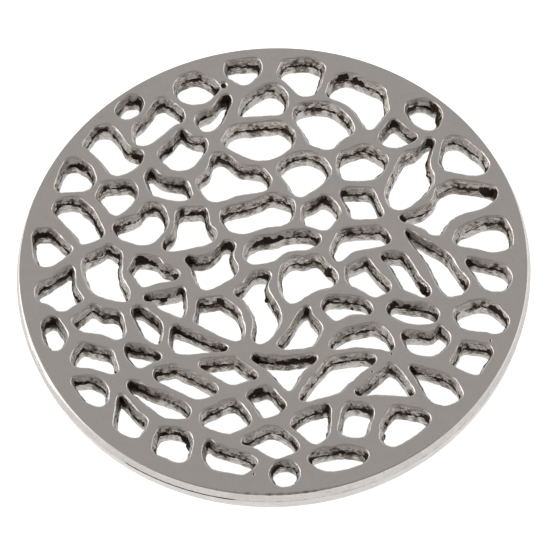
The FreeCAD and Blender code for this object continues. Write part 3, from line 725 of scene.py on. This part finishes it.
def spread(tree, value, low, high, out_low, out_high):
    """Maps value from low..high onto out_low..out_high smoothly, and no further."""
    node = tree.nodes.new("ShaderNodeMapRange")
    node.interpolation_type = "SMOOTHSTEP"
    link(tree, value, node.inputs["Value"])
    node.inputs["From Min"].default_value = low
    node.inputs["From Max"].default_value = high
    node.inputs["To Min"].default_value = out_low
    node.inputs["To Max"].default_value = out_high
    return node.outputs["Result"]


def speckle(tree, place, wavelength_mm, detail=2.0):
    """Noise over the object, from 0 to 1, whose patches are about wavelength_mm wide."""
    node = tree.nodes.new("ShaderNodeTexNoise")
    link(tree, place, node.inputs["Vector"])
    node.inputs["Scale"].default_value = 1 / (wavelength_mm * MM)
    node.inputs["Detail"].default_value = detail
    return node.outputs["Fac"]


def centred(tree, value):
    """Noise with more contrast, from -0.5 to 0.5."""
    return spread(tree, value, 0.36, 0.64, -0.5, 0.5)


def mixed(tree, share, first, second):
    """A colour between first and second, each a socket or a plain colour."""
    node = tree.nodes.new("ShaderNodeMix")
    node.data_type = "RGBA"
    link(tree, share, node.inputs["Factor"])
    for slot, value in ((6, first), (7, second)):
        if isinstance(value, tuple):
            node.inputs[slot].default_value = (*value, 1)
        else:
            link(tree, value, node.inputs[slot])
    return node.outputs[2]


def reading(tree, name):
    """The value of one of the mesh's own vertex attributes."""
    node = tree.nodes.new("ShaderNodeAttribute")
    node.attribute_name = name
    return node.outputs["Fac"]


def cast_metal(name, clean, wall_light, wall_dark):
    """Satin cast metal: clean on the faces, stained down the walls and black where grime and painted
    shade sit.
    """
    material = bpy.data.materials.new(name)
    material.use_nodes = True
    tree = material.node_tree
    surface = tree.nodes["Principled BSDF"]
    place = tree.nodes.new("ShaderNodeTexCoord").outputs["Object"]
    layered = tree.nodes.new("ShaderNodeMapping")
    layered.inputs["Scale"].default_value = STREAK_STRETCH
    link(tree, place, layered.inputs["Vector"])
    # These attributes carry painted shade as well as grime and stain: in the cells' corners and along
    # the rim's front edge.
    grime_and_shade = reading(tree, "grime_and_shade")
    stain_and_shade = reading(tree, "stain_and_shade")
    wall = reading(tree, "wall")
    blotches = speckle(tree, place, BLOTCH_WIDTH)
    grain = centred(tree, speckle(tree, place, GRAIN_WIDTH, 3.0))
    streaks = centred(tree, speckle(tree, layered.outputs["Vector"], STREAK_WIDTH))
    fine = speckle(tree, place, SPECK_WIDTH)
    dust = speckle(tree, place, DUST_WIDTH, 1.0)

    mottle = plus(tree, times(tree, grain, 0.55), times(tree, streaks, 0.45))
    browning_and_shade = plus(tree, stain_and_shade, times(tree, mottle, wall))
    wall_tone = mixed(tree, spread(tree, browning_and_shade, 0.0, 1.0, 0.0, 1.0), wall_light, wall_dark)
    wall_tone = mixed(tree, spread(tree, fine, 0.60, 0.68, 0.0, 0.55), wall_tone, DARK_SPECK)
    wall_tone = mixed(tree, spread(tree, fine, 0.38, 0.30, 0.0, 0.6), wall_tone, LIGHT_FLECK)

    blotched = tuple(BLOTCH_SHADE * part for part in clean)
    face_tone = mixed(tree, spread(tree, blotches, 0.35, 0.70, 0.0, 1.0), clean, blotched)
    face_tone = mixed(tree, spread(tree, dust, 0.68, 0.76, 0.0, 0.35), face_tone, DARK_DUST)
    face_tone = mixed(tree, spread(tree, dust, 0.31, 0.24, 0.0, 0.5), face_tone, LIGHT_DUST)

    blackness = plus(tree, grime_and_shade, times(tree, times(tree, grain, wall), 0.5))
    black = spread(tree, blackness, 0.35, 0.75, 0.0, 1.0)
    tone = mixed(tree, wall, face_tone, wall_tone)
    link(tree, mixed(tree, black, tone, GRIME_AND_SHADE_BLACK), surface.inputs["Base Color"])

    satin = spread(tree, blotches, 0.3, 0.7, *SATIN)
    dryness = plus(tree, times(tree, wall, 0.12), times(tree, black, 0.25))
    link(tree, plus(tree, satin, dryness), surface.inputs["Roughness"])
    link(tree, maths(tree, "SUBTRACT", 1.0, times(tree, black, 0.9)), surface.inputs["Metallic"])
    surface.inputs["Specular IOR Level"].default_value = BLACKENED_SHEEN

    relief = tree.nodes.new("ShaderNodeBump")
    relief.inputs["Distance"].default_value = RELIEF_DEPTH * MM
    link(tree, plus(tree, grain, fine), relief.inputs["Height"])
    link(tree, plus(tree, times(tree, wall, 0.75), 0.03), relief.inputs["Strength"])
    link(tree, relief.outputs["Normal"], surface.inputs["Normal"])
    return material


def floor_under(height):
    """A pale matt floor that stays white under soft light."""
    bpy.ops.mesh.primitive_plane_add(size=4, location=(0, 0, height))
    floor = bpy.context.object
    floor.name = "floor"
    material = bpy.data.materials.new("pale_floor")
    material.use_nodes = True
    surface = material.node_tree.nodes["Principled BSDF"]
    surface.inputs["Base Color"].default_value = (FLOOR_GREY, FLOOR_GREY, FLOOR_GREY, 1)
    surface.inputs["Roughness"].default_value = 1.0
    surface.inputs["Specular IOR Level"].default_value = 0.0
    surface.inputs["Emission Color"].default_value = (1, 1, 1, 1)
    surface.inputs["Emission Strength"].default_value = FLOOR_GLOW
    floor.data.materials.append(material)


def studio_world():
    """Soft light from all round: bright low down and at the sides, dim overhead and in front."""
    world = bpy.data.worlds.new("studio")
    bpy.context.scene.world = world
    world.use_nodes = True
    tree = world.node_tree
    background = tree.nodes["Background"]
    direction = tree.nodes.new("ShaderNodeTexCoord").outputs["Generated"]
    parts = tree.nodes.new("ShaderNodeSeparateXYZ")
    link(tree, direction, parts.inputs[0])
    x, y, z = parts.outputs
    ramp = tree.nodes.new("ShaderNodeValToRGB")
    link(tree, z, ramp.inputs["Fac"])
    elements = ramp.color_ramp.elements
    while len(elements) < len(SKY_BANDS):
        elements.new(0.5)
    for element, (position, level) in zip(elements, SKY_BANDS):
        element.position = position
        element.color = (level, level, level, 1)
    dimming = spread(tree, y, -0.45, 0.25, FRONT_DIMMING, 1.0)
    from_all_round = times(tree, ramp.outputs["Color"], dimming)
    from_left = spread(tree, x, -0.50, -0.80, 0.0, LEFT_GLOW)
    from_right = spread(tree, x, 0.50, 0.80, 0.0, RIGHT_GLOW)
    from_sides = times(tree, plus(tree, from_left, from_right), spread(tree, y, -0.60, 0.15, 0.0, 1.0))
    link(tree, plus(tree, from_all_round, from_sides), background.inputs["Strength"])
    background.inputs["Color"].default_value = (*SKY_COLOUR, 1)


def camera():
    """The camera: a long lens, high on the -Y side and rolled a little."""
    back = Vector((0, -math.cos(ELEVATION), math.sin(ELEVATION)))
    level_right = Vector((1, 0, 0))
    level_up = back.cross(level_right)
    right = math.cos(ROLL) * level_right + math.sin(ROLL) * level_up
    up = back.cross(right)
    face_centre = Vector((0, 0, THICKNESS * MM))
    aim = face_centre + (AIM_RIGHT * right + AIM_UP * up) * MM
    data = bpy.data.cameras.new("camera")
    data.sensor_width = SENSOR
    data.lens = LENS
    data.clip_start = 0.01
    data.clip_end = 10
    view = bpy.data.objects.new("camera", data)
    turn = Matrix((right, up, back)).transposed().to_4x4()
    view.matrix_world = Matrix.Translation(aim + back * DISTANCE) @ turn
    bpy.context.scene.collection.objects.link(view)
    bpy.context.scene.camera = view


front_metal = cast_metal("front_cast_metal", FRONT_CLEAN, FRONT_WALL_LIGHT, FRONT_WALL_DARK)
back_metal = cast_metal("back_cast_metal", BACK_CLEAN, BACK_WALL_LIGHT, BACK_WALL_DARK)
for node_name, face_z, metal, slot_name, seed in (
    ("front_half", THICKNESS, front_metal, "front_metal", 1),
    ("back_half", 0.0, back_metal, "back_metal", 31),
):
    half = build_half(node_name, face_z, seed)
    half.data.materials.append(metal)
    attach(half, "root")
    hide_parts(node_name)

floor_under(cad_box[0].z)
studio_world()
camera()
bpy.context.scene.view_settings.view_transform = "Standard"
